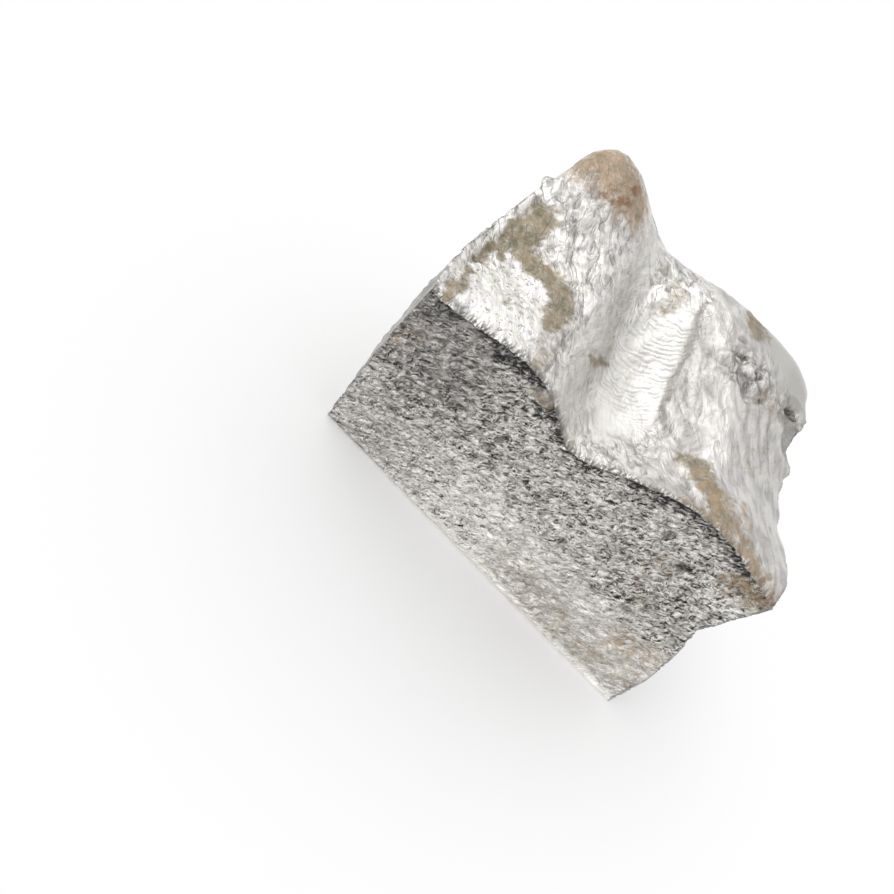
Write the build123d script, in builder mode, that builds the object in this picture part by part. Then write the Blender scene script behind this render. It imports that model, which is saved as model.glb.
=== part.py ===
from build123d import *
import os

# A lump of tin, sheared off a thick cast slab. The slab's open-cast skin is on top, where folds ran
# and froze, with a gully between two ridges. The front is the sheared face, and the base is flat.
# Millimetres. X runs along the sheared face, Y from it to the back, and Z up from the base.

# Overall size
face_length = 58.6  # sheared face, along its foot
lump_depth = 46.0  # sheared face to back face
slab_height = 31.0  # base to the skin, near the left end of the sheared face

# The two ends. Their heights are shares of the slab's height
back_taper = 9.6  # the right end runs in by this much towards the back
waist_height = 0.70  # the kink under the overhanging lip of the skin, at the right end
belly_height = 0.30  # the swell under that kink
belly_swell = 1.1
swell_height = 0.72  # the left end's own swell

foot_round = 0.9  # the foot of the sheared face and of the back

# Cross-sections stand at these shares of the depth, from the sheared face to the back.
# Each row of five sizes below holds one size for each of them
stations = (0.0, 0.24, 0.52, 0.90, 1.0)
left_swell = (1.7, 3.4, 3.0, 1.4, 0.7)

# How far the rims of the skin hang out past the foot, and stand above the slab's height
left_rim = {"out": (1.7, 3.2, 2.9, 1.0, 0.2), "rise": (-0.4, 0.5, 1.8, 6.5, 3.0)}
right_lip = {"out": (4.1, 4.2, 1.3, -1.8, -0.7), "rise": (2.9, 2.3, 0.3, 4.3, 1.0)}

# The folds between the rims, from left to right: how far across each one runs, as a share of the way
# from the left rim to the right lip, and how far it stands above the slab's height
folds = {
    "plateau": {"across": (0.155, 0.164, 0.139, 0.077, 0.072), "rise": (1.0, 1.7, 3.5, 11.2, 7.0)},
    "crest": {"across": (0.295, 0.312, 0.326, 0.195, 0.180), "rise": (2.2, 2.8, 4.4, 9.3, 6.5)},
    "scarp": {"across": (0.380, 0.375, 0.378, 0.285, 0.275), "rise": (-0.2, 0.8, 1.8, 5.8, 4.0)},
    "gully": {"across": (0.450, 0.433, 0.417, 0.379, 0.367), "rise": (-3.0, -2.4, -0.5, 3.8, 2.0)},
    "flat": {"across": (0.559, 0.560, 0.516, 0.485, 0.474), "rise": (-0.2, -1.6, -0.5, 4.8, 2.5)},
    "ledge": {"across": (0.668, 0.685, 0.588, 0.576, 0.567), "rise": (3.6, 2.8, 1.3, 6.5, 3.5)},
    "ridge": {"across": (0.761, 0.758, 0.688, 0.739, 0.732), "rise": (5.6, 5.0, 5.3, 7.4, 4.5)},
    "shoulder": {"across": (0.885, 0.883, 0.861, 0.902, 0.897), "rise": (5.0, 4.5, 4.2, 6.6, 4.0)},
}

# The skin tore as it ran over the right-hand ridge, which left three hollows, and a piece broke out
# of the right lip. Each is the print of a ball. The ball's middle is given as a share of the sheared
# face's length, a share of the depth, and its rise above the slab's height
tear_radius = 3.2
tears = {
    "upper": {"place": (0.625, 0.687), "rise": 9.6},
    "lower": {"place": (0.710, 0.600), "rise": 8.3},
    "end": {"place": (0.828, 0.765), "rise": 6.8},
    "lip": {"place": (0.919, 0.702), "rise": 1.9},
}
seam_turn = (90, 0, 45)  # turns a ball's seam up and out, clear of the print it leaves

left_foot = -face_length / 2
below_base = 3.0  # the sections reach down this far, and the base is cut flat above it


def skin_outline(station, right_foot):
    # the skin at one station, as points from its left rim to its right lip
    left = left_foot - left_rim["out"][station]
    right = right_foot + right_lip["out"][station]
    points = [(left, slab_height + left_rim["rise"][station])]
    for fold in folds.values():
        across = left + (right - left) * fold["across"][station]
        points.append((across, slab_height + fold["rise"][station]))
    points.append((right, slab_height + right_lip["rise"][station]))
    return points


# The lump is lofted through its cross-sections, and stands on a cut base
with BuildPart() as rough_lump:
    for station, share in enumerate(stations):
        right_foot = face_length / 2 - back_taper * share
        skin = skin_outline(station, right_foot)
        left_toe, right_toe = (left_foot, -below_base), (right_foot - belly_swell / 2, -below_base)
        belly = (right_foot + belly_swell, slab_height * belly_height)
        waist = (right_foot, slab_height * waist_height)
        swell = (left_foot - left_swell[station], slab_height * swell_height)
        with BuildSketch(Plane.XZ.offset(-share * lump_depth)):
            with BuildLine():
                Line(left_toe, right_toe)
                Spline(right_toe, belly, waist)
                Line(waist, skin[-1])
                Spline(*reversed(skin))
                Spline(skin[0], swell, left_toe)
            make_face()
    loft()
    split(bisect_by=Plane.XY)
    foot_edges = rough_lump.faces().sort_by(Axis.Z)[0].edges()
    fillet(foot_edges.filter_by(Axis.X), foot_round)
    for tear in tears.values():
        across, share = tear["place"]
        with Locations((left_foot + across * face_length, share * lump_depth, slab_height + tear["rise"])):
            Sphere(tear_radius, rotation=seam_turn, mode=Mode.SUBTRACT)

# It rests on the middle of its base
with BuildPart() as ingot_lump:
    box = rough_lump.part.bounding_box()
    with Locations((-box.center().X, -lump_depth / 2, 0)):
        add(rough_lump.part)

ingot_lump.part.label = "ingot_lump"

if __name__ == "__main__":
    os.makedirs("parts", exist_ok=True)
    export_step(ingot_lump.part, "parts/ingot_lump.step")
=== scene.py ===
import math

import bmesh
import bpy
import numpy as np
from mathutils import Matrix, Vector, noise
from mathutils.bvhtree import BVHTree


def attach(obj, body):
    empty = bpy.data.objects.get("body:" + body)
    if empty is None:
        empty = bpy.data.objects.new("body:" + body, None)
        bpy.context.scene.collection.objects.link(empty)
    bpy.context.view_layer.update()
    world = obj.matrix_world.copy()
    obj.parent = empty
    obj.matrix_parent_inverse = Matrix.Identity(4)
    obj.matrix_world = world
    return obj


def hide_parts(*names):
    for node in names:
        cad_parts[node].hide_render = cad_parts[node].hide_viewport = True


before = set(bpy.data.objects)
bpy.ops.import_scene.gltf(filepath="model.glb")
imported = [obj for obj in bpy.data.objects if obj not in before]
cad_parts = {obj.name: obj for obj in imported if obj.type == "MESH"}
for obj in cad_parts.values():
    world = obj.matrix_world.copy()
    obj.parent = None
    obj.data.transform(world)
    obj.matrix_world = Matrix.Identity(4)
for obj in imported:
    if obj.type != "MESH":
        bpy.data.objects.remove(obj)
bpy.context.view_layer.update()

mm = 0.001  # sizes below are in millimetres, and the scene is in metres

# A lump of cast tin. X runs along the sheared face, Y from it to the back, Z up from the flat base.
# Places on the skin are given as (x, y), and places on the sheared face as (x, z).

lump = {
    "gridSize": 0.353,  # distance between the mesh's points
    "pushOut": 0.33,  # how far points stand out before they settle on the solid, so that edges stay crisp
    "faceNormal": -0.985,  # the sheared face looks this squarely along -Y
    "backNormal": 0.97,
    "skinLean": 0.25,  # the skin's normals rise at least this much
    "skinFloor": 25.0,  # and it lies above this height
    "baseNormal": -0.9, "baseTop": 0.05,
    "footTop": 1.2, "footFrom": -21, "footNormal": -0.1,  # the foot's rounding belongs to the sheared face
    "rimPasses": 3, "rimFade": 0.98, "rimEase": 0.7,
    "dropReach": 1.25, "dropFade": 0.2,  # as shares of a drop's size
    "weld": 0.0005, "flatTop": 0.02,
    "sharp": 35,  # degrees, between two sides of the lump
}

# Drops of metal that froze on the lump
drops = [
    # the first drop gets its own darker tone through the masks that elsewhere paint shade
    {"at": (-9.7, -22.75, 31.3), "size": (1.3, 0.75, 1.2),
     "masks": {"dirt": 1.0, "crevice": 0.5, "tan": 0.38, "rust": 0.2}},
    {"at": (-31.9, 8.6, 35.5), "size": (0.85, 1.0, 0.9), "masks": {"tan": 0.25}},
]

brokenLip = {"at": (21.4, 9.3, 32.9), "reach": 3.35}  # the print where a piece of the lip broke out


# Numbers worked out over all points of the mesh


def smooth(value, low, high):
    t = np.clip((value - low) / (high - low), 0, 1)
    return t * t * (3 - 2 * t)


def grain(points, size, seed, octaves=1, along=None, stretch=1.0):
    # seeded lumps about size across, from about -1 to 1, drawn out by stretch in one direction
    spots = points / size
    if along is not None:
        way = np.array(along, float) / np.linalg.norm(along)
        spots = spots - np.outer(spots @ way, way) * (1 - 1 / stretch)
    spots = spots + 11.7 * seed
    return np.array([noise.fractal(Vector(s), 1.0, 2.1, octaves) for s in spots])


def pebbles(points, size, seed):
    # 0 in the crevices between rounded lumps about size across, to 1 on top of them
    ways = [noise.voronoi(Vector(s))[0] for s in points / size + 7.3 * seed]
    return smooth(np.array([w[1] - w[0] for w in ways]), 0.0, 0.55)


def lineDistance(spots, line):
    # distance to a chain of points, which side of it a spot is on (left is +1), and how far along
    best = np.full(len(spots), 1e9)
    side = np.zeros(len(spots))
    along = np.zeros(len(spots))
    run = 0.0
    for start, end in zip(line[:-1], line[1:]):
        a, b = np.array(start, float), np.array(end, float)
        way = b - a
        length = np.linalg.norm(way)
        share = np.clip((spots - a) @ way / length**2, 0, 1)
        off = spots - (a + share[:, None] * way)
        distance = np.linalg.norm(off, axis=1)
        closer = distance < best
        best[closer] = distance[closer]
        side[closer] = np.sign(way[0] * off[closer, 1] - way[1] * off[closer, 0])
        along[closer] = run + share[closer] * length
        run += length
    return best, side, along, run


def band(spots, line, width, soft=0.5):
    # 1 on the line, 0 past its width
    distance = lineDistance(spots, line)[0]
    return 1 - smooth(distance, width * (1 - soft), width * (1 + soft))


def oval(spots, row, soft=0.4):
    # 1 inside an oval, turned anticlockwise by some degrees, and 0 outside it
    angle = math.radians(row.get("turn", 0))
    soft = row.get("soft", soft)
    off = spots - np.array(row["at"], float)
    u = (off[:, 0] * math.cos(angle) + off[:, 1] * math.sin(angle)) / row["reach"][0]
    v = (-off[:, 0] * math.sin(angle) + off[:, 1] * math.cos(angle)) / row["reach"][1]
    return 1 - smooth(np.hypot(u, v), 1 - soft, 1 + soft)


# The skin: folds that ran and froze

skin = {
    "swellSize": 8.0, "swell": 0.30,
    "wrinkleSize": 1.7, "wrinkle": 0.21, "wrinkleWay": (0.1, 1.0, 0.3), "wrinkleStretch": 1.7,
    "gullyCalm": 0.75, "massCalm": 0.5, "pittedCalm": 0.75, "endCalm": 0.85,  # less wrinkled there
    "flow": (1.0, -1.5, 0.0),  # the way the right-hand mass ran
    "flowSize": 2.3, "flowStretch": 3.5, "flowDepth": 0.34,
    "massFrom": -1.5, "massTo": 2.0, "massSlant": 0.28, "massMiddle": 8,  # x, and how it moves with y
    "lumpSize": 2.1, "lumpShape": (1.0, 0.75, 1.0), "lump": 0.60,  # rounded lumps where the skin crumbled
    "lumpFlat": 0.55,  # this far up their sides they neither rise nor sink
    "shakeSize": 1.5, "shake": 0.5,  # keeps the lumps from looking alike
    "crumbleSize": 2.6, "crumble": 0.35,
    "fillSoft": 0.5,
    "pitSize": 1.3, "pit": 0.22, "pitLift": 0.15, "pitTop": 0.1, "pitSoft": 0.6,
    "lineShakeSize": 2.2, "lineShake": 0.35, "lineEnds": 1.5,  # lines wander, and fade out at their ends
    "stepReach": 3.5,  # the metal raised by a step falls away over this much
    "grooveShade": 2.6,  # how much painted shade darkens a groove, for its depth
    "crevice": 0.7, "creviceTop": 0.30, "creviceFade": 0.32,  # painted shade between the rounded lumps
    "fraySize": 3.0, "fray": 1.1,  # stains end unevenly
    "bandWidth": 1.4,  # no specks this near the olive band
    "greySoft": 0.6,
    "fringeFrom": -20.9, "fringe": 1.9,  # y, where the skin was dragged over the sheared face
    "rippledFrom": -11.5, "rippledTo": -6.5,  # y
}

# Stretches of the skin, as ovals
crumbledSpots = [
    {"at": (9, 8), "reach": (5.0, 3.6), "turn": 25, "soft": 0.35, "amount": 1.0},
    {"at": (17.5, 11), "reach": (3.2, 2.2), "turn": 50, "amount": 0.7},
]
pittedSpot = {"at": (-23, -14.5), "reach": (8.5, 8.5), "soft": 0.3}
gullySpot = {"at": (-2.0, -1.5), "reach": (5.4, 14), "turn": 9, "soft": 0.25}

# Lines in the skin. step raises the metal on the left of the line, groove sinks it along the line and
# darkens it there with painted shade
skinLines = [
    {"line": [(-3, 14.5), (-2, 11), (-1, 9), (0.4, 5.5), (1.4, 2), (3, -3), (5, -7), (8, -9.6),
              (10.5, -11.5)],
     "step": 0.60, "groove": 0.13, "width": 0.8},
    {"line": [(2.5, 8), (4, 4), (6.5, 0.5), (9.5, -3), (12, -7)],
     "step": 0.22, "groove": 0.16, "width": 0.4},
    {"line": [(1.6, 3.5), (4, -0.5), (7, -5), (9.5, -9)], "step": 0.10, "groove": 0.15, "width": 0.35},
    {"line": [(11.6, -16.6), (13, -18.2), (14.4, -19.8), (15.6, -22)],
     "step": 0.30, "groove": 0.28, "width": 0.35},
    {"line": [(-12, -22.5), (-12.4, -18), (-13.4, -14), (-14.4, -11)],
     "step": 0.12, "groove": 0.26, "width": 0.3},
    {"line": [(-14.2, -10), (-13.4, -7), (-13.9, -3), (-13.6, 1), (-14.6, 5.5), (-14.8, 9)],
     "step": 0.12, "groove": -0.16, "width": 0.5},
    {"line": [(-29, 10.6), (-25, 9.8), (-21, 10.6), (-19, 13), (-18, 16)],
     "step": 0.15, "groove": 0.12, "width": 0.45},
    {"line": [(-24, 9), (-20.5, 4), (-18, 0), (-16, -5)], "step": 0.0, "groove": 0.18, "width": 0.35},
    {"line": [(-27, 8), (-23.5, 3.5), (-20.5, -1.5)], "step": 0.0, "groove": 0.14, "width": 0.35},
    {"line": [(-19.5, -17.5), (-18.6, -19.6), (-16.5, -20.6)], "step": 0.0, "groove": 0.15, "width": 0.3},
    {"line": [(-31.4, 6), (-30.2, 0), (-30.4, -7), (-30.8, -13), (-30.4, -22)],
     "step": 0.0, "groove": 0.28, "width": 0.45},
    {"line": [(-8, -3.5), (-6.6, -7), (-6.2, -9.6), (-4.2, -13), (-3, -15.5)],
     "step": 0.16, "groove": 0.10, "width": 0.5},
]

# Holes where the metal tore or gas came out, on the skin
skinPits = [
    {"at": (6.6, 9.4), "reach": (0.9, 0.45), "turn": 50, "depth": 0.6},
    {"at": (10.2, 9.1), "reach": (1.1, 0.5), "turn": 30, "depth": 1.0},
    {"at": (11.3, 4.6), "reach": (1.0, 0.5), "turn": 40, "depth": 0.5},
    {"at": (8.3, 7.0), "reach": (0.6, 0.4), "turn": 10, "depth": 0.6},
    {"at": (13.2, 6.6), "reach": (1.0, 0.4), "turn": 60, "depth": 0.6},
    {"at": (5.4, 11.4), "reach": (1.0, 0.4), "turn": 20, "depth": 0.5},
    {"at": (17.8, 12.4), "reach": (1.3, 0.6), "turn": 58, "depth": 1.5},
    {"at": (-23.0, -15.4), "reach": (0.9, 0.5), "turn": 80, "depth": 0.35},
    {"at": (-21.2, -13.9), "reach": (0.8, 0.4), "turn": 10, "depth": 0.35},
    {"at": (-22.5, -12.2), "reach": (0.4, 0.4), "depth": 0.35},
    {"at": (-28.4, -10.8), "reach": (0.8, 0.4), "turn": 20, "depth": 0.35},
    {"at": (-30.2, -8.4), "reach": (0.4, 1.0), "depth": 0.6},
    {"at": (-30.4, -11.2), "reach": (0.4, 1.1), "turn": 10, "depth": 0.6},
]

# The torn hollows, partly filled with crumbs of metal
fills = [
    {"at": (7.3, 8.6), "reach": (2.2, 2.2), "rise": 0.55},
    {"at": (12.3, 4.6), "reach": (2.2, 2.2), "rise": 0.35},
    {"at": (19.2, 12.2), "reach": (2.3, 2.3), "rise": 0.65},
]

# Stains, each along a chain of points on the skin
oliveBand = [(-28, -3), (-23, -4.7), (-19.5, -5.8), (-17.2, -9), (-16, -13.5)]

skinStains = {
    "tan": [
        {"line": [(-27.5, 14.5), (-21.5, 14)], "width": 4.6, "amount": 1.0},
        {"line": [(13, -14.6), (17, -17.6), (21, -19.6)], "width": 1.9, "amount": 0.55},
        {"line": [(15.4, -22.6), (19, -21.6), (24, -21.6), (31, -22.6)], "width": 2.4, "amount": 0.55},
        {"line": [(21, -15.6), (22.4, -17.4)], "width": 1.5, "amount": 0.7},
        {"line": [(12.5, 5), (14.4, 8.2), (16.4, 11.4)], "width": 1.3, "amount": 0.3},
        {"line": [(-27, 6.5), (-24.5, 5)], "width": 1.5, "amount": 0.25},
    ],
    "olive": [
        {"line": [(-28.6, 3), (-27.8, -0.5), (-28.2, -2.5)], "width": 2.3, "amount": 1.0},
        {"line": oliveBand, "width": 1.9, "amount": 1.0},
        {"line": [(-16, -13.5), (-14.2, -18), (-13.4, -22.5)], "width": 1.9, "amount": 0.45},
        {"line": [(-29.4, -15), (-29.4, -17.5), (-29.6, -22)], "width": 0.8, "amount": 0.9},
        {"line": [(-30.4, 1), (-30.2, -5), (-30.4, -11)], "width": 0.7, "amount": 0.9},
        {"line": [(-29.2, -5), (-28.8, -7.8)], "width": 0.7, "amount": 0.8},
        {"line": [(-23.4, -14.2), (-23, -16)], "width": 0.5, "amount": 0.7},
        {"line": [(11.6, -12.8), (14, -14.8), (17, -18), (19.5, -21)], "width": 1.9, "amount": 0.85},
        {"line": [(15.4, -22.4), (19, -21.2), (24, -20.6), (31, -22.4)], "width": 1.8, "amount": 0.5},
        {"line": [(4.4, 21.5), (4.8, 18), (6.0, 15.4)], "width": 2.1, "amount": 1.0},
        {"line": [(-9.5, 15), (-7, 13.5), (-6, 11)], "width": 1.6, "amount": 0.5},
        {"line": [(-9.2, -9), (-8.2, -6.4), (-6.8, -3.6)], "width": 0.6, "amount": 0.75},
        {"line": [(-3.6, -19), (-2.6, -22.5)], "width": 1.2, "amount": 0.35},
        {"line": [(18.6, 3), (18, -2), (17.6, -6)], "width": 1.3, "amount": 0.4},
        {"line": [(13.5, 7), (16, 9), (19.5, 10.6)], "width": 1.6, "amount": 0.32},
    ],
    "rust": [
        {"line": [(-22.3, 11.4), (-21.6, 12.6)], "width": 0.9, "amount": 0.8},
        {"line": [(-21.6, 15.4), (-21.2, 17)], "width": 0.8, "amount": 0.8},
        {"line": [(-25, 10.3), (-23, 10.1)], "width": 0.5, "amount": 0.6},
        {"line": [(29.5, -22.3), (32.2, -22.3)], "width": 0.8, "amount": 0.45},
    ],
}

# Greyer, more even stretches of the skin, where it is steep or turns away
greyStretches = [
    {"line": [(-17, 20), (-15.4, 15), (-13.2, 10), (-12, 5), (-10.8, 0), (-10, -5), (-9.2, -10),
              (-7.6, -15), (-7, -22.5)],
     "width": 3.1, "amount": 0.62},
    {"line": [(14, 3), (19, 0), (22, -6), (26, -12), (30, -19)], "width": 3.6, "amount": 0.7},
    {"line": [(-0.5, 9), (2.6, 3.4), (5.6, -2), (10, -8.6)], "width": 1.9, "amount": 0.7},
    {"line": [(-6, -12), (-5.6, -20)], "width": 2.6, "amount": 0.45},
]

# The smooth dull end of the right-hand mass, at the back
calmEnd = {"line": [(9, 18.5), (18.5, 16.5)], "width": 4.0, "soft": 0.35}

stainSoft = 0.8  # how far a stain's edge fades, as a share of its width


def stainMasks(stains, spots):
    found = {}
    for tint, rows in stains.items():
        amounts = [row["amount"] * band(spots, row["line"], row["width"], stainSoft) for row in rows]
        found[tint] = np.max(amounts, axis=0)
    return found


def skinRelief(points):
    # height above the solid's skin, in mm, and masks for the material
    spots = points[:, :2]
    x, y = spots[:, 0], spots[:, 1]
    flat = points * (1, 1, 0.4)
    rightMass = smooth(x - skin["massSlant"] * (skin["massMiddle"] - y), skin["massFrom"], skin["massTo"])
    crumbled = np.max([row["amount"] * oval(spots, row) for row in crumbledSpots], axis=0)
    pitted = oval(spots, pittedSpot) * (1 - band(spots, oliveBand, skin["bandWidth"]))
    calmLand = band(spots, calmEnd["line"], calmEnd["width"], calmEnd["soft"]) * (1 - crumbled)
    gully = oval(spots, gullySpot) * (1 - rightMass)
    height = skin["swell"] * grain(points, skin["swellSize"], 1, 2)
    wrinkled = (1 - skin["gullyCalm"] * gully) * (1 - skin["massCalm"] * rightMass)
    wrinkled *= (1 - skin["pittedCalm"] * pitted) * (1 - skin["endCalm"] * calmLand)
    wrinkles = grain(flat, skin["wrinkleSize"], 2, 3, skin["wrinkleWay"], skin["wrinkleStretch"])
    height += skin["wrinkle"] * wrinkled * wrinkles
    streaks = grain(flat, skin["flowSize"], 3, 2, skin["flow"], skin["flowStretch"])
    height += skin["flowDepth"] * rightMass * (1 - crumbled) * (1 - skin["endCalm"] * calmLand) * streaks
    near = crumbled > 0
    knobs = np.ones(len(points))
    shakes = [grain(flat[near], skin["shakeSize"], seed) for seed in (14, 15, 16)]
    shaken = flat[near] + skin["shake"] * np.column_stack(shakes)
    knobs[near] = pebbles(shaken * skin["lumpShape"], skin["lumpSize"], 4)
    crumbs = grain(flat, skin["crumbleSize"], 4, 2)
    height += crumbled * (skin["lump"] * (knobs - skin["lumpFlat"]) + skin["crumble"] * crumbs)
    for row in fills:
        height += row["rise"] * oval(spots, row, skin["fillSoft"])
    specks = grain(flat, skin["pitSize"], 5, 2)
    height += skin["pit"] * pitted * np.minimum(specks + skin["pitLift"], skin["pitTop"])
    dirt = np.zeros(len(points))
    for row in skinLines:
        shakes = [grain(flat, skin["lineShakeSize"], seed) for seed in (6, 7)]
        shaken = spots + skin["lineShake"] * np.column_stack(shakes)
        distance, side, along, run = lineDistance(shaken, row["line"])
        ends = smooth(np.minimum(along, run - along), 0, skin["lineEnds"])
        signed = distance * side
        raised = smooth(signed, -row["width"], row["width"])
        raised *= np.exp(-np.maximum(signed, 0) / skin["stepReach"])
        groove = np.exp(-((distance / row["width"]) ** 2)) * ends
        height += row["step"] * raised * ends - row["groove"] * groove
        # painted shade: the groove is darker by its depth
        dirt = np.maximum(dirt, groove * min(1.0, max(0.0, row["groove"]) * skin["grooveShade"]))
    for row in skinPits:
        hole = oval(spots, row, skin["pitSoft"])
        height -= row["depth"] * hole
        # painted shade: the hole is darker by its depth
        dirt = np.maximum(dirt, hole * min(1.0, row["depth"]))
    masks = {"pitted": pitted, "gully": gully, "calm": calmLand,
             "rippled": gully * smooth(y, skin["rippledFrom"], skin["rippledTo"]),
             "ran": rightMass * (1 - crumbled) * (1 - calmLand)}
    grey = np.zeros(len(points))
    for row in greyStretches:
        grey = np.maximum(grey, row["amount"] * band(spots, row["line"], row["width"], skin["greySoft"]))
    masks["grey"] = grey
    masks["bare"] = np.maximum(pitted, gully - masks["rippled"])
    masks["dirt"] = dirt
    masks["crumbled"] = crumbled
    crevices = smooth(skin["creviceTop"] - knobs, 0, skin["creviceFade"])
    masks["crevice"] = skin["crevice"] * crumbled * crevices
    masks["fringe"] = smooth(skin["fringeFrom"] - y, 0, skin["fringe"])
    frays = [grain(flat, skin["fraySize"], seed, 3) for seed in (8, 9)]
    masks.update(stainMasks(skinStains, spots + skin["fray"] * np.column_stack(frays)))
    return height, masks


# The sheared face: torn grain, darkest under its top edge

face = {
    "swellSize": 9.0, "swell": 0.38,
    "flakeWay": (1.0, 0.0, 0.9), "flakeSize": 1.2, "flakeStretch": 1.9, "flake": 0.46,
    "smearCalm": 0.5, "lowerCalm": 0.35,  # how much flatter the flakes are there
    "chipSize": 2.8, "chipStretch": 1.6, "chip": 0.30,
    "footWave": 0.1125, "footWaveSize": 7.0, "footWaveTop": 1.5,
    "sink": 0.3,  # the torn grain starts this far in from the solid, and its flakes end near it
    "lowerTop": 19, "lower": 11,  # from this z on down the grain gets smoother, over this much
    "rubbedFrom": -10, "rubbedTo": 18,  # x, along the lower part
    "leftEndTo": -6, "leftEnd": 18,
    "shade": 3.4, "shadeWaver": 2.0, "shadeWaverSize": 3.2,  # the dark stretch under the top edge
    "shadeMiddle": 1, "shadeEven": 12, "shadeEnd": 26, "shadeLoss": 0.35,  # it is paler towards both ends
    "smearShade": 0.2,
    "deepFrom": 0.05, "deepTo": 0.5,
    "footTop": 2.2, "foot": 1.4, "footFrom": -26, "footTo": 4,  # the foot, brightened with a painted highlight: z, then x
    "pitSoft": 0.8, "pitShade": 0.7, "burrRise": 0.7, "burrHighlightShare": 0.3,
}

smearSpot = {"at": (-24, 25), "reach": (9, 8), "turn": -20}  # where the grain was smeared over

facePits = [
    {"at": (20.6, 27.0), "reach": (1.3, 0.45), "turn": 40, "depth": 0.6},
    {"at": (28.0, 17.2), "reach": (0.7, 0.35), "turn": 55, "depth": 0.6},
    {"at": (-18.8, 23.0), "reach": (0.9, 0.35), "turn": 15, "depth": 0.7},
    {"at": (-9.5, 20.3), "reach": (0.35, 0.9), "turn": -15, "depth": 0.6},
    {"at": (-17.0, 19.2), "reach": (0.8, 0.3), "turn": 35, "depth": 0.6},
    {"at": (16.0, 29.6), "reach": (0.3, 0.9), "turn": -10, "depth": 0.5},
    {"at": (23.8, 25.3), "reach": (0.7, 0.3), "turn": -40, "depth": 0.5},
    {"at": (20.2, 15.2), "reach": (0.5, 0.4), "turn": 20, "depth": 0.5},
    {"at": (28.8, 23.6), "reach": (0.7, 0.4), "depth": 0.5},
    {"at": (-24.0, 10.0), "reach": (0.9, 0.3), "turn": 15, "depth": 0.5},
    {"at": (-10.0, 17.8), "reach": (0.3, 0.7), "turn": -5, "depth": 0.5},
    {"at": (6.9, 15.0), "reach": (0.25, 0.9), "depth": 0.5},
]

# Raised burrs on the face, near its left end, lightened with a painted highlight
faceBurrs = [
    {"line": [(-29.2, 20.2), (-26.6, 17.6), (-25.9, 14.6)], "rise": 0.5, "width": 0.35},
    {"line": [(-29.2, 23.0), (-28.4, 24.6), (-27.0, 24.4), (-26.4, 23.0)], "rise": 0.45, "width": 0.3},
    {"line": [(-27.6, 29.2), (-27.4, 26.4), (-26.6, 24.8)], "rise": 0.35, "width": 0.3},
    {"line": [(-24.8, 29.6), (-24.3, 30.6)], "rise": 0.35, "width": 0.3},
    {"line": [(-19.4, 30.2), (-19.0, 27.0)], "rise": 0.3, "width": 0.3},
    {"line": [(-24.0, 25.5), (-22.2, 21.4)], "rise": 0.3, "width": 0.3},
    {"line": [(-14.5, 18.9), (-12.4, 18.4)], "rise": 0.35, "width": 0.4},
    {"line": [(-14.4, 24.4), (-13.0, 26.2)], "rise": 0.35, "width": 0.35},
    {"line": [(16.6, 22.0), (18.8, 22.4), (19.4, 20.6)], "rise": 0.35, "width": 0.35},
]

faceTints = {
    "tan": [
        {"line": [(17, 21), (19, 25)], "width": 3.0, "amount": 0.3},
        {"line": [(22, 10), (28, 12)], "width": 2.6, "amount": 0.42},
        {"line": [(27, 32), (32.5, 33.5)], "width": 2.4, "amount": 0.4},
        {"line": [(-29.4, 20), (-28.6, 24.5)], "width": 1.8, "amount": 0.35},
        {"line": [(-10.6, 31.2), (-8.9, 31.3)], "width": 1.0, "amount": 0.75},
    ],
    "olive": [
        {"line": [(27, 32), (32.5, 33.5)], "width": 2.2, "amount": 0.6},
        {"line": [(5, 5), (18, 4), (26, 6)], "width": 4.5, "amount": 0.38},
        {"line": [(21, 18), (27, 20)], "width": 2.5, "amount": 0.3},
    ],
    "rust": [
        {"line": [(31, 34), (33, 33.6)], "width": 0.9, "amount": 0.4},
    ],
}


def faceRelief(points, edgeHeight):
    spots = points[:, [0, 2]]
    x, z = spots[:, 0], spots[:, 1]
    lower = smooth(face["lowerTop"] - z, 0, face["lower"])
    chips = 2 * np.abs(grain(points, face["chipSize"], 23, 2, face["flakeWay"], face["chipStretch"]))
    smear = oval(spots, smearSpot)
    height = face["swell"] * grain(points, face["swellSize"], 22, 2) - face["sink"]
    flakes = grain(points, face["flakeSize"], 21, 2, face["flakeWay"], face["flakeStretch"])
    height += face["flake"] * (1 - face["smearCalm"] * smear) * (1 - face["lowerCalm"] * lower) * flakes
    height += face["chip"] * chips
    dirt = np.zeros(len(points))
    for row in facePits:
        hole = oval(spots, row, face["pitSoft"])
        height -= row["depth"] * hole
        # painted shade in the hole
        dirt = np.maximum(dirt, face["pitShade"] * hole)
    shine = np.zeros(len(points))
    for row in faceBurrs:
        ridge = np.exp(-((lineDistance(spots, row["line"])[0] / row["width"]) ** 2))
        height += face["burrRise"] * row["rise"] * ridge
        # painted highlight along the burr
        shine = np.maximum(shine, face["burrHighlightShare"] * ridge)
    reach = face["shade"] + face["shadeWaver"] * grain(points * (1, 0, 0.3), face["shadeWaverSize"], 24, 2)
    ends = smooth(np.abs(x - face["shadeMiddle"]), face["shadeEven"], face["shadeEnd"])
    shade = smooth(reach - (edgeHeight - z), 0, face["shade"]) * (1 - face["shadeLoss"] * ends)
    shade = np.maximum(shade, face["smearShade"] * smear)
    foot = smooth(face["footTop"] - z, 0, face["foot"]) * smooth(x, face["footFrom"], face["footTo"])
    # deep marks where the mesh's flakes sink, for painted shade there
    masks = {"sheared": np.ones(len(points)), "lower": lower, "shade": shade, "dirt": dirt, "shine": shine,
             "smear": smear, "foot": foot, "deep": smooth(-flakes, face["deepFrom"], face["deepTo"]),
             "rubbed": lower * smooth(x, face["rubbedFrom"], face["rubbedTo"]),
             "leftEnd": smooth(face["leftEndTo"] - x, 0, face["leftEnd"])}
    masks.update(stainMasks(faceTints, spots))
    return height, masks


# The ends and the back, which nothing is known of, are plain cast and broken metal

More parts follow.
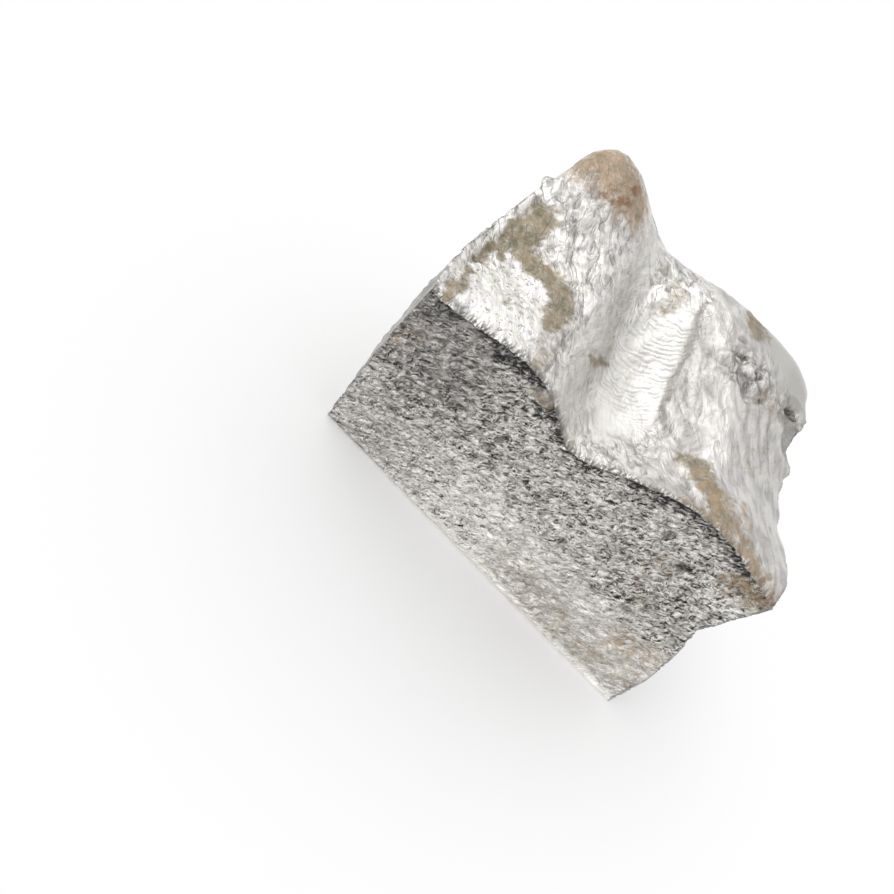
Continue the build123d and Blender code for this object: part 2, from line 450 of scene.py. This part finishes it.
sides = {
    "swellSize": 8.0, "swell": 0.45,
    "wrinkleSize": 2.4, "wrinkle": 0.30,
    "grainSize": 1.1, "grain": 0.20,
    "sink": 0.2,
}


def sideRelief(points):
    height = sides["swell"] * grain(points, sides["swellSize"], 41, 2) - sides["sink"]
    height += sides["wrinkle"] * grain(points, sides["wrinkleSize"], 42, 2)
    height += sides["grain"] * grain(points, sides["grainSize"], 43, 1)
    return height, {"side": np.ones(len(points))}


# The right rim, where the lip broke unevenly: each place moves out or in along X

rim = {
    "from": 24, "to": 29,  # z
    "soft": 0.8,
    "raggedSize": 3.0, "even": 0.8, "ragged": 0.4,  # the share of a shift that is the same all over, or not
}

rimShifts = [
    {"at": (19.9, 13.4), "reach": (2.2, 2.2), "shift": 1.0},
    {"at": (23.0, 5.7), "reach": (1.7, 1.1), "shift": 0.9},
    {"at": (25.4, 0.6), "reach": (1.6, 1.8), "shift": -0.45},
    {"at": (28.4, -5.4), "reach": (2.0, 2.4), "shift": -0.7},
]


def weldedSolid():
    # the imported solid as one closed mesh, with the frozen drops added
    shape = bmesh.new()
    shape.from_mesh(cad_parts["ingot_lump"].data)
    bmesh.ops.remove_doubles(shape, verts=shape.verts, dist=lump["weld"] * mm)
    for drop in drops:
        made = bmesh.ops.create_icosphere(shape, subdivisions=3, radius=mm)
        for corner in made["verts"]:
            corner.co = [(a + b * c / mm) * mm for a, b, c in zip(drop["at"], drop["size"], corner.co)]
    return shape


def evenMesh(shape):
    # an even grid of points over the solid
    source = bpy.data.meshes.new("solid")
    shape.to_mesh(source)
    holder = bpy.data.objects.new("solid", source)
    bpy.context.scene.collection.objects.link(holder)
    remesh = holder.modifiers.new("grid", "REMESH")
    remesh.mode = "VOXEL"
    remesh.voxel_size = lump["gridSize"] * mm
    remesh.adaptivity = 0.0
    ready = holder.evaluated_get(bpy.context.evaluated_depsgraph_get())
    mesh = bpy.data.meshes.new_from_object(ready)
    bpy.data.objects.remove(holder)
    bpy.data.meshes.remove(source)
    return mesh


def settle(mesh, shape):
    # points go back to the solid's surface, which gives each its normal and its side of the lump
    tree = BVHTree.FromBMesh(shape)
    count = len(mesh.vertices)
    points = np.empty(count * 3)
    mesh.vertices.foreach_get("co", points)
    points = points.reshape(-1, 3)
    out = np.empty(count * 3)
    mesh.vertices.foreach_get("normal", out)
    pushed = points + out.reshape(-1, 3) * lump["pushOut"] * mm
    settled, normals = np.empty((count, 3)), np.empty((count, 3))
    for i, point in enumerate(pushed):
        place, normal, _, _ = tree.find_nearest(Vector(point))
        settled[i], normals[i] = place, normal
    return settled / mm, normals


def edgeOfFace(points, normals):
    # height of the sheared face's top edge, by x
    onFace = normals[:, 1] < lump["faceNormal"]
    slots = np.round(points[onFace, 0]).astype(int)
    tops = {s: points[onFace, 2][slots == s].max() for s in np.unique(slots)}
    keys = sorted(tops)
    return np.interp(points[:, 0], keys, [tops[k] for k in keys])


def easeRims(mesh, side, height):
    # where two sides meet, the relief of one runs into that of the other
    ends = np.empty(len(mesh.edges) * 2, int)
    mesh.edges.foreach_get("vertices", ends)
    a, b = ends.reshape(-1, 2).T
    near = np.zeros(len(height))
    meet = side[a] != side[b]
    near[a[meet]] = near[b[meet]] = 1
    links = np.bincount(ends, minlength=len(height))
    for _ in range(lump["rimPasses"]):
        for here, there in ((a, b), (b, a)):
            near = np.maximum(near, lump["rimFade"] * np.bincount(here, near[there], len(near)).clip(0, 1))
        mean = (np.bincount(a, height[b], len(near)) + np.bincount(b, height[a], len(near))) / links
        height = np.where(near > 0.5, height + lump["rimEase"] * (mean - height), height)
    return height


def thinBase(shape):
    # the flat base needs no grid
    flat = [f for f in shape.faces if all(v.co.z < lump["flatTop"] * mm for v in f.verts)]
    joined = bmesh.ops.dissolve_faces(shape, faces=flat, use_verts=False)["region"]
    bmesh.ops.triangulate(shape, faces=joined)


def sortPoints(points, normals):
    # which side of the lump each point is on
    onBase = (normals[:, 2] < lump["baseNormal"]) & (points[:, 2] < lump["baseTop"])
    rounded = (points[:, 2] < lump["footTop"]) & (points[:, 1] < lump["footFrom"])
    rounded &= normals[:, 1] < lump["footNormal"]
    onFace = ((normals[:, 1] < lump["faceNormal"]) | rounded) & ~onBase
    onBack = (normals[:, 1] > lump["backNormal"]) & ~onBase
    onSkin = (normals[:, 2] > lump["skinLean"]) & (points[:, 2] > lump["skinFloor"]) & ~onFace & ~onBack
    onSkin &= np.linalg.norm(points - brokenLip["at"], axis=1) > brokenLip["reach"]
    return onBase, onFace, onSkin, ~(onBase | onFace | onSkin)


def addDrops(points, height, masks):
    # the frozen drops are smooth, and stained in their own way
    for drop in drops:
        off = np.linalg.norm((points - drop["at"]) / drop["size"], axis=1)
        near = smooth(lump["dropReach"] - off, 0, lump["dropFade"])
        height *= 1 - near
        for name in ("sheared", "side", "shade", "deep", "dirt", "fringe"):
            masks[name] *= 1 - near
        for name, amount in drop["masks"].items():
            masks[name] = np.maximum(masks[name], near * amount)


def finishMesh(mesh, side):
    # smooth shading but for the edges between two sides, and few faces on the base
    shape = bmesh.new()
    shape.from_mesh(mesh)
    shape.verts.ensure_lookup_table()
    for part in shape.faces:
        part.smooth = True
    for edge in shape.edges:
        if len(edge.link_faces) == 2:
            a, b = (max(side[v.index] for v in f.verts) for f in edge.link_faces)
            turned = edge.calc_face_angle(0) > math.radians(lump["sharp"])
            edge.smooth = not (a != b and turned)
    thinBase(shape)
    bmesh.ops.triangulate(shape, faces=[f for f in shape.faces if len(f.verts) > 4])
    shape.to_mesh(mesh)
    shape.free()


def tinLump():
    solid = weldedSolid()
    mesh = evenMesh(solid)
    print("grid:", len(mesh.polygons), "quads")
    points, normals = settle(mesh, solid)
    solid.free()
    onBase, onFace, onSkin, onEnds = sortPoints(points, normals)
    edgeHeight = edgeOfFace(points, normals)
    height = np.zeros(len(points))
    masks = {}
    parts = (
        (onSkin, *skinRelief(points[onSkin])),
        (onFace, *faceRelief(points[onFace], edgeHeight[onFace])),
        (onEnds, *sideRelief(points[onEnds])),
    )
    for where, rise, found in parts:
        height[where] = rise
        for name, amount in found.items():
            masks.setdefault(name, np.zeros(len(points)))[where] = amount
    addDrops(points, height, masks)
    side = np.select([onFace, onSkin, onBase], [1, 2, 3], 0)
    height = easeRims(mesh, side, height)
    footFade = smooth(points[:, 2], 0.0, lump["footTop"])
    moved = points + normals * (height * footFade)[:, None]
    ragged = rim["even"] + rim["ragged"] * np.abs(grain(points, rim["raggedSize"], 51))
    ragged *= smooth(points[:, 2], rim["from"], rim["to"])
    for row in rimShifts:
        moved[:, 0] += row["shift"] * ragged * oval(points[:, :2], row, rim["soft"])
    wave = 0.5 + 0.5 * grain(points * (1, 1, 0), face["footWaveSize"], 52, 2)
    nearFoot = onFace & (points[:, 2] < face["footWaveTop"])
    moved[nearFoot, 1] += face["footWave"] * wave[nearFoot]
    moved[:, 2] = np.maximum(moved[:, 2], 0.0)
    moved[onBase, 2] = 0.0
    mesh.vertices.foreach_set("co", (moved * mm).ravel())
    for name, amount in masks.items():
        store = mesh.attributes.new(name, "FLOAT", "POINT")
        store.data.foreach_set("value", np.clip(amount, 0, 1).astype(np.float32))
    finishMesh(mesh, side)
    mesh.name = "tin_lump"
    piece = bpy.data.objects.new("tin_lump", mesh)
    bpy.context.scene.collection.objects.link(piece)
    print("lump:", sum(len(p.vertices) - 2 for p in mesh.polygons), "triangles")
    return piece


# Shader maths as plain expressions


class Wire:
    def __init__(self, tree, socket):
        self.tree = tree
        self.socket = socket

    def node(self, kind, settings=None, values=None, out=0):
        made = self.tree.nodes.new(kind)
        for name, value in (settings or {}).items():
            if name == "stops":
                ramp = made.color_ramp
                while len(ramp.elements) < len(value):
                    ramp.elements.new(0.5)
                for element, (place, colour) in zip(ramp.elements, value):
                    element.position = place
                    element.color = (*colour, 1)
            else:
                setattr(made, name, value)
        for name, value in (values or {}).items():
            if isinstance(value, Wire):
                self.tree.links.new(value.socket, made.inputs[name])
            else:
                made.inputs[name].default_value = value
        return Wire(self.tree, made.outputs[out] if len(made.outputs) else None)

    def maths(self, operation, first, second=0.0):
        return self.node("ShaderNodeMath", {"operation": operation}, {0: first, 1: second})

    def __add__(self, other):
        return self.maths("ADD", self, other)

    def __radd__(self, other):
        return self.maths("ADD", other, self)

    def __sub__(self, other):
        return self.maths("SUBTRACT", self, other)

    def __rsub__(self, other):
        return self.maths("SUBTRACT", other, self)

    def __mul__(self, other):
        return self.maths("MULTIPLY", self, other)

    def __rmul__(self, other):
        return self.maths("MULTIPLY", other, self)

    def __pow__(self, other):
        return self.maths("POWER", self, other)

    def __abs__(self):
        return self.maths("ABSOLUTE", self)

    def fold(self):
        # a noise folded at its middle: 0 along thin winding lines, and up to 1 away from them
        return abs(self - 0.5) * 2

    def most(self, other):
        return self.maths("MAXIMUM", self, other)

    def least(self, other):
        return self.maths("MINIMUM", self, other)

    def between(self, low, high, start=0.0, end=1.0):
        # start below low, end above high, with a smooth change between
        return self.node("ShaderNodeMapRange", {"interpolation_type": "SMOOTHSTEP"},
                         {0: self, 1: low, 2: high, 3: start, 4: end})

    def mixed(self, below, above):
        # two colours mixed by this mask
        below, above = ((*c, 1.0) if isinstance(c, tuple) else c for c in (below, above))
        return self.node("ShaderNodeMix", {"data_type": "RGBA"}, {0: self, 6: below, 7: above}, out=2)

    def scaled(self, amount):
        # a vector times a number
        return self.node("ShaderNodeVectorMath", {"operation": "SCALE"}, {0: self, "Scale": amount})

    def plus(self, other):
        return self.node("ShaderNodeVectorMath", {"operation": "ADD"}, {0: self, 1: other})

    def part(self, axis):
        return self.node("ShaderNodeSeparateXYZ", {}, {0: self}, out="XYZ".index(axis))

    def turned(self, degrees, stretch):
        # this place in axes turned by some degrees, with what is drawn there stretched along each
        turn = tuple(math.radians(d) for d in degrees)
        return self.node("ShaderNodeMapping", {"vector_type": "TEXTURE"},
                         {"Vector": self, "Rotation": turn, "Scale": stretch})

    def noise(self, size, detail=2.0, rough=0.5, distortion=0.0):
        # this vector is a place in mm, and the noise runs from 0 to 1 in lumps of the size given
        return self.node("ShaderNodeTexNoise", {},
                         {"Vector": self, "Scale": 1 / size, "Detail": detail, "Roughness": rough,
                          "Distortion": distortion})


def emptyMaterial(name):
    material = bpy.data.materials.new(name)
    material.use_nodes = True
    material.node_tree.nodes.clear()
    return material, Wire(material.node_tree, None)


tin = {
    "bright": (0.91, 0.875, 0.875),
    "brightGreen": (0.91, 0.905, 0.84),
    "greyed": (0.75, 0.73, 0.705),
    "dull": (0.57, 0.56, 0.53),
    # crease, murk and hollow mostly paint shade, in the skin's hollows, grooves, pits and crevices and the
    # face's low grain and holes; flake also paints the burrs' highlight
    "crease": (0.34, 0.325, 0.31),
    "torn": (0.52, 0.50, 0.475),
    "flake": (0.90, 0.88, 0.84),
    "murk": (0.22, 0.21, 0.20),
    "hollow": (0.04, 0.038, 0.036),
    "sides": (0.58, 0.565, 0.545),
    "sidesLow": (0.34, 0.33, 0.31),
    "tan": ((0.33, 0.245, 0.15), (0.46, 0.32, 0.195)),
    "olive": ((0.19, 0.16, 0.085), (0.33, 0.255, 0.155)),
    "rust": ((0.30, 0.14, 0.07), (0.20, 0.10, 0.06)),
}

# Each noise is given by its size in mm, its detail, its roughness and its distortion; each way in which
# it is drawn out, by a turn in degrees and a stretch along the three turned axes; and its edges, by two
# of its values and the amounts that hold below the first and above the second

skinGrain = {
    "wrinkled": (1.3, 3.0, 0.55, 0.9),
    "creases": (2.2, 2.0, 0.5, 1.0),
    "runs": (1.5, 3.0, 0.45, 0.6),
    "drags": (0.75, 4.0, 0.62, 0.6),
    "specks": (1.0, 4.0, 0.65, 1.4),
    "clusters": (1.0, 2.0, 0.5, 0.0),  # where the specks stand
    "crumbs": (0.9, 3.0, 0.6, 0.4),
    # the next noise breaks up the painted shade of grooves and holes
    "darkPatchiness": (1.1, 3.0, 0.6, 0.0),
    "patches": (2.2, 3.0, 0.6, 0.8),
    "tints": (1.3, 3.0, 0.6, 0.6),
    "comb": (0.36, 2.0, 0.5, 0.0),
    "gaps": (1.6, 2.0, 0.5, 0.0),  # where the ripples fade
}
skinWays = {
    "flank": ((0, 0, -60), (2.2, 1.0, 1.6)),  # the way the left-hand flank ran
    "runs": ((0, 0, -56), (3.4, 1.0, 2.0)),  # the way the right-hand mass ran
    "drags": ((0, 0, 68), (3.4, 1.0, 1.0)),  # down the scarp
    "comb": ((0, 0, 0), (1.0, 4.0, 4.0)),  # over the edge of the sheared face
}
skinEdges = {
    "creases": (0.0, 0.09, 1.0, 0.0),
    "specks": (0.0, 0.06, 1.0, 0.0),
    "clusters": (0.52, 0.62, 0.0, 1.0),
    "darkPatchiness": (0.36, 0.60, 0.25, 1.0),
    "patches": (0.44, 0.60, 0.0, 0.75),
    "tints": (0.42, 0.58, 0.0, 1.0),
    "comb": (0.42, 0.56, 0.0, 1.0),
    "gaps": (0.34, 0.60, 0.30, 1.0),
}
skinDepth = {  # mm
    "wrinkled": 0.30, "creases": 0.06, "runs": 0.34, "drags": 0.24, "ripples": 0.06,
    "specks": 0.12, "crumbs": 0.45,
}
skinDark = {  # how much painted shade darkens the hollows of each, as edges or as an amount
    "wrinkled": (0.33, 0.57, 0.75, 0.0),
    "runs": (0.38, 0.58, 0.45, 0.0),
    "drags": (0.34, 0.54, 0.27, 0.0),
    "ripples": (0.0, 0.50, 0.38, 0.0),
    "creases": 0.36, "specks": 0.75,
}
skinCalm = {"grey": 1.0, "gully": 0.85, "ran": 0.75, "pitted": 0.82, "calm": 0.9}  # how much plainer it is
wrinkleCalm = {"grey": 0.5, "gully": 0.6, "calm": 0.9}
skinDull = {"grey": 0.50, "ran": 0.80, "rippled": 0.30, "bare": -0.22}
everDull = 0.22

# ripples across the gully bow back at both ends, and wander to and fro
ripple = {
    "spacing": 0.95, "bow": 0.058, "middle": 4.8,
    "wanderSize": 3.2, "wander": 3.4,
    "distortion": 2.0, "detail": 3.0, "rough": 0.6,
    "waveUnit": 0.314,  # a wave texture of scale 1 repeats after this much
}


def without(mask, shares):
    # 1, less by a share of each of the masks named
    left = 1.0
    for name, share in shares.items():
        left = left * (1 - mask(name) * share)
    return left


def gullyRipples(place):
    bow = place.part("X") + ripple["middle"]
    wander = (place.noise(ripple["wanderSize"]) - 0.5) * ripple["wander"]
    bowed = place.plus(bow.node("ShaderNodeCombineXYZ", {}, {"Y": wander - bow * bow * ripple["bow"]}))
    return place.node("ShaderNodeTexWave", {"wave_type": "BANDS", "bands_direction": "Y"}, {
        "Vector": bowed, "Scale": ripple["waveUnit"] / ripple["spacing"],
        "Distortion": ripple["distortion"], "Detail": ripple["detail"],
        "Detail Scale": 1.0, "Detail Roughness": ripple["rough"]})


def skinFinish(place, mask):
    # height in mm and colour of the folded skin

    def pattern(name, way=place):
        return way.noise(*skinGrain[name])

    def amount(name, way=place):
        return pattern(name, way).between(*skinEdges[name])

    grey, ran, pitted = mask("grey"), mask("ran"), mask("pitted")
    rough = 1 - mask("calm") * skinCalm["calm"]
    plain = without(mask, skinCalm)
    flank = place.turned(*skinWays["flank"])
    wrinkled = pattern("wrinkled", flank)
    runs = pattern("runs", place.turned(*skinWays["runs"]))
    drags = pattern("drags", place.turned(*skinWays["drags"]))
    ripples = gullyRipples(place)
    rippled = mask("rippled") * amount("gaps")
    creases = pattern("creases", flank).fold().between(*skinEdges["creases"]) * plain
    specks = pattern("specks").fold().between(*skinEdges["specks"]) * amount("clusters") * pitted
    crumbs = pattern("crumbs") * mask("crumbled")

    height = wrinkled * skinDepth["wrinkled"] * without(mask, wrinkleCalm)
    height = height + runs * skinDepth["runs"] * ran + drags * skinDepth["drags"] * grey * rough
    height = height + ripples * skinDepth["ripples"] * rippled + crumbs * skinDepth["crumbs"]
    height = height - creases * skinDepth["creases"] - specks * skinDepth["specks"]

    # painted shade: creases, specks, grooves, holes and the hollows of the wrinkles, runs, drags and
    # ripples come out darker; this also gives the first drop its darker tone
    dark = creases * skinDark["creases"] + specks * skinDark["specks"] + mask("dirt") * amount("darkPatchiness")
    for name, found, where in (("wrinkled", wrinkled, plain), ("runs", runs, ran), ("drags", drags, grey),
                               ("ripples", ripples, rippled)):
        dark = dark + found.between(*skinDark[name]) * where

    dulled = amount("patches") * plain + everDull
    for name, share in skinDull.items():
        dulled = dulled + mask(name) * share
    clean = amount("tints").mixed(tin["bright"], tin["brightGreen"])
    metal = dulled.least(1.0).mixed(clean, tin["greyed"])
    metal = mask("calm").mixed(metal, tin["dull"])
    colour = dark.least(1.0).mixed(metal, tin["crease"])
    comb = amount("comb", place.turned(*skinWays["comb"]))
    # painted shade between the crumbled lumps, and the dark comb along the fringe
    black = (mask("crevice") + comb * mask("fringe")).least(1.0)
    return height, black.mixed(colour, tin["murk"])


faceGrain = {
    "grainy": (0.58, 4.0, 0.62, 0.8),
    "broad": (2.4, 3.0, 0.55, 0.6),
    "flakes": (1.05, 3.0, 0.6, 0.9),
    "torn": (2.6, 3.0, 0.6, 0.5),  # how strongly the flakes show
    "broken": (0.9, 2.0, 0.5, 0.4),  # cuts their edges short
}
faceEdges = {
    "torn": (0.38, 0.60, 0.35, 1.0),
    "broken": (0.42, 0.56, 0.15, 1.0),
    "raised": (0.70, 1.0, 0.0, 0.16),  # mm
    "lit": (0.82, 1.0, 0.0, 0.16),
    "lee": (0.80, 1.0, 0.0, 0.19),
}
flakeWay = ((0, -42, 0), (1.9, 1.0, 1.0))
flakeLean = (-0.05, 0.0, 0.27)  # from a flake's lit edge to its dark one, in mm along the slant
faceDepth = {"grainy": 0.55, "broad": 0.45}  # mm
faceCalm = {"lower": -0.15, "rubbed": -0.45, "smear": -0.25, "leftEnd": -0.25}
faceTone = {
    "middle": 0.524, "lift": 0.008, "grainy": 0.85, "broad": 0.20, "deep": -0.02, "smearedEnd": 0.02,
}
# foot: a painted highlight along the rounded foot
faceTones = {"shade": -0.155, "lower": 0.055, "leftEnd": -0.07, "rubbed": -0.03, "foot": 0.14}
faceStops = [(0.35, tin["hollow"]), (0.43, tin["murk"]), (0.51, tin["torn"]), (0.62, tin["flake"])]


def faceFinish(place, mask):
    # height in mm and colour of the sheared face: flakes that lean one way, with a painted highlight on
    # their lit edges and painted shade on their lee side
    slant = place.turned(*flakeWay)
    grainy = slant.noise(*faceGrain["grainy"])
    broad = slant.noise(*faceGrain["broad"])
    lit, lee = (1 - way.noise(*faceGrain["flakes"]).fold() for way in (slant, slant.plus(flakeLean)))
    torn, broken = (place.noise(*faceGrain[name]).between(*faceEdges[name]) for name in ("torn", "broken"))
    contrast = 1.0
    for name, change in faceCalm.items():
        contrast = contrast + mask(name) * change
    raised = lit.between(*faceEdges["raised"]) * torn
    height = (grainy * faceDepth["grainy"] + raised) * contrast + broad * faceDepth["broad"]

    # painted highlight on each flake's lit edge and painted shade on its lee side
    strokes = (lit.between(*faceEdges["lit"]) - lee.between(*faceEdges["lee"])) * broken * torn
    # the tone follows the same grain as the height, so its hollows come out darker: the torn grain's own
    # tone and painted shade at once; deep adds painted shade where the mesh's flakes sink
    mottled = (grainy - 0.5) * faceTone["grainy"] + (broad - 0.5) * faceTone["broad"]
    level = (mottled + strokes + mask("deep") * faceTone["deep"] + faceTone["lift"]) * contrast
    level = level + mask("leftEnd") * mask("smear") * faceTone["smearedEnd"] + faceTone["middle"]
    for name, change in faceTones.items():
        level = level + mask(name) * change
    colour = level.node("ShaderNodeValToRGB", {"stops": faceStops}, {"Fac": level})
    # painted shade in the holes
    colour = mask("dirt").mixed(colour, tin["hollow"])
    # painted highlight on the burrs
    return height, mask("shine").mixed(colour, tin["flake"])


sideLook = {
    "cast": (0.9, 5.0, 0.68, 0.5), "uneven": (5.0, 4.0, 0.6, 0.6),
    "depth": 0.55, "castTone": 0.75, "unevenTone": 0.7, "edges": (0.28, 0.72),
}


def sideFinish(place):
    # height in mm and colour of the plain ends and back
    cast = place.noise(*sideLook["cast"])
    uneven = place.noise(*sideLook["uneven"])
    tone = (cast - 0.5) * sideLook["castTone"] + (uneven - 0.5) * sideLook["unevenTone"] + 0.5
    colour = tone.between(*sideLook["edges"]).mixed(tin["sidesLow"], tin["sides"])
    return cast * sideLook["depth"], colour


stainGrain = {
    "crust": (0.8, 4.0, 0.62, 0.5),
    "mottle": (1.3, 5.0, 0.65, 0.5),
    "dapple": (0.5, 3.0, 0.6, 0.0),
    "blotch": (1.7, 4.0, 0.66, 0.9),
    "tone": (2.6, 3.0, 0.55, 0.8),
}
stainEdges = {
    "rim": (0.0, 0.3), "spread": (0.04, 0.88),
    "blotch": (0.34, 0.66, 1.0, 0.80), "dapple": (0.40, 0.62, 1.0, 0.84), "tone": (0.38, 0.62),
}
stain = {
    "crustDepth": 0.22,  # mm
    "mottle": 1.7, "fade": 1.5,
    "rougher": 0.20, "dappleRougher": 0.10, "lessMetal": 0.75,
}
roughness = {"tin": 0.35, "grey": 0.08, "sheared": 0.05, "side": 0.14, "crumbled": 0.12}


def addStains(place, mask, colour):
    # the colour with stains laid over it, how stained it is, and the dapple of its roughness
    mottle, dapple, blotch, tone = (
        place.noise(*stainGrain[name]) for name in ("mottle", "dapple", "blotch", "tone"))
    thin = blotch.between(*stainEdges["blotch"]) * dapple.between(*stainEdges["dapple"])
    tone = tone.between(*stainEdges["tone"])
    stained = 0.0
    for tint in ("olive", "tan", "rust"):
        amount = mask(tint)
        uneven = (mottle - 0.5) * stain["mottle"] * amount.between(*stainEdges["rim"])
        worn = (amount + uneven).between(*stainEdges["spread"]) ** stain["fade"] * thin
        colour = worn.mixed(colour, tone.mixed(*tin[tint]))
        stained = worn.most(stained)
    return colour, stained, dapple


def tinMaterial():
    material, start = emptyMaterial("cast_tin")

    def mask(name):
        return start.node("ShaderNodeAttribute", {"attribute_name": name}, out="Fac")

    place = start.node("ShaderNodeTexCoord", out="Object").scaled(1 / mm)
    torn, side = mask("sheared"), mask("side")
    skinHeight, skinColour = skinFinish(place, mask)
    faceHeight, faceColour = faceFinish(place, mask)
    sideHeight, sideColour = sideFinish(place)
    crust = mask("olive").most(mask("tan")) * (1 - torn) * place.noise(*stainGrain["crust"])
    height = skinHeight * (1 - torn) * (1 - side) + faceHeight * torn + sideHeight * side
    height = height + crust * stain["crustDepth"]
    bumped = height.node("ShaderNodeBump", {}, {"Strength": 1.0, "Distance": mm, "Height": height})

    colour = side.mixed(torn.mixed(skinColour, faceColour), sideColour)
    colour, stained, dapple = addStains(place, mask, colour)
    rough = stained * stain["rougher"] + (dapple - 0.5) * stain["dappleRougher"] + roughness["tin"]
    for name in ("grey", "sheared", "side", "crumbled"):
        rough = rough + mask(name) * roughness[name]
    surface = colour.node("ShaderNodeBsdfPrincipled", {}, {
        "Base Color": colour, "Roughness": rough, "Metallic": 1 - stained * stain["lessMetal"],
        "Normal": bumped})
    surface.node("ShaderNodeOutputMaterial", {}, {"Surface": surface})
    return material


# Floor, light and camera

studio = {
    "floorSize": 6.0, "floorGap": 0.02, "floorColour": (0.98, 0.98, 0.98),
    "nearSpot": (-0.006, -0.032, 0.0), "nearFrom": 0.015, "nearReach": 0.07,
    "glowNear": 0.12, "glowFar": 0.97,  # how white the floor is, near that spot and far from it
    "brightWay": (-0.30, 0.72, 0.63), "brightFrom": 0.35, "brightTo": 0.95, "bright": 0.98, "dim": 0.70,
    "frontWay": (-0.45, -0.87, 0.20), "frontFrom": 0.82, "frontTo": 0.95,
    "front": 1.8,  # a white card low in front lights what leans up
    "lampAt": (-0.62, 0.25, 0.66), "lampSize": 0.8, "lampPower": 1.5,
}


def floorPlane():
    half = studio["floorSize"] / 2
    mesh = bpy.data.meshes.new("floor")
    corners = [(-half, -half, 0), (half, -half, 0), (half, half, 0), (-half, half, 0)]
    mesh.from_pydata(corners, [], [(0, 1, 2, 3)])
    floor = bpy.data.objects.new("floor", mesh)
    floor.location.z = -studio["floorGap"] * mm
    bpy.context.scene.collection.objects.link(floor)
    material, start = emptyMaterial("pale_floor")
    rays = {name: start.node("ShaderNodeLightPath", out=name)
            for name in ("Is Camera Ray", "Is Glossy Ray", "Is Transmission Ray")}
    seen = rays["Is Camera Ray"].most(rays["Is Glossy Ray"]).most(rays["Is Transmission Ray"])
    matt = start.node("ShaderNodeBsdfDiffuse", {}, {"Color": (*studio["floorColour"], 1)})
    glow = start.node("ShaderNodeEmission", {}, {"Color": (1, 1, 1, 1), "Strength": 1.0})
    # the floor is plain white but at the foot of the sheared face, where it glows less, so that the real
    # shadow shows, with a little painted shadow as well
    place = start.node("ShaderNodeTexCoord", out="Object")
    away = place.node("ShaderNodeVectorMath", {"operation": "DISTANCE"}, {0: place, 1: studio["nearSpot"]},
                      out="Value")
    share = away.between(studio["nearFrom"], studio["nearReach"], studio["glowNear"], studio["glowFar"])
    surface = start.node("ShaderNodeMixShader", {}, {0: seen * share, 1: matt, 2: glow})
    surface.node("ShaderNodeOutputMaterial", {}, {"Surface": surface})
    mesh.materials.append(material)


def tentLight():
    # soft light all round, brightest behind and above the lump
    world = bpy.data.worlds.new("tent")
    bpy.context.scene.world = world
    world.use_nodes = True
    world.node_tree.nodes.clear()
    start = Wire(world.node_tree, None)
    way = start.node("ShaderNodeTexCoord", out="Generated")
    toward, ahead = (start.node("ShaderNodeVectorMath", {"operation": "DOT_PRODUCT"},
                                {0: way, 1: Vector(studio[name]).normalized()}, out="Value")
                     for name in ("brightWay", "frontWay"))
    strength = (toward.between(studio["brightFrom"], studio["brightTo"], studio["dim"], studio["bright"])
                + ahead.between(studio["frontFrom"], studio["frontTo"], 0.0, studio["front"]))
    light = start.node("ShaderNodeBackground", {}, {"Color": (1, 1, 1, 1), "Strength": strength})
    light.node("ShaderNodeOutputWorld", {}, {"Surface": light})

    lamp = bpy.data.lights.new("softbox", "AREA")
    lamp.shape = "SQUARE"
    lamp.size = studio["lampSize"]
    lamp.energy = studio["lampPower"]
    holder = bpy.data.objects.new("softbox", lamp)
    holder.location = studio["lampAt"]
    holder.rotation_euler = (-Vector(studio["lampAt"])).to_track_quat("-Z", "Y").to_euler()
    bpy.context.scene.collection.objects.link(holder)


view = {
    "lens": 90.0,
    "aim": (-14.2, -16.5, 7.08),  # mm
    "distance": 329.16,  # mm
    "elevation": 40.0,  # degrees
    "roll": 45.698,  # degrees, anticlockwise
}


def addCamera():
    lens = bpy.data.cameras.new("camera")
    lens.lens = view["lens"]
    camera = bpy.data.objects.new("camera", lens)
    tilt, roll = math.radians(view["elevation"]), math.radians(view["roll"])
    back = Vector((0, -math.cos(tilt), math.sin(tilt)))
    right = Vector((1, 0, 0))
    up = back.cross(right)
    turnedRight = right * math.cos(roll) + up * math.sin(roll)
    turnedUp = -right * math.sin(roll) + up * math.cos(roll)
    axes = Matrix((turnedRight, turnedUp, back)).transposed()
    place = (Vector(view["aim"]) + back * view["distance"]) * mm
    camera.matrix_world = Matrix.Translation(place) @ axes.to_4x4()
    bpy.context.scene.collection.objects.link(camera)
    bpy.context.scene.camera = camera


ingot = tinLump()
ingot.data.materials.append(tinMaterial())
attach(ingot, "root")
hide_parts("ingot_lump")
print("lump ready")

floorPlane()
tentLight()
addCamera()
bpy.context.scene.view_settings.view_transform = "Standard"
print("studio ready")
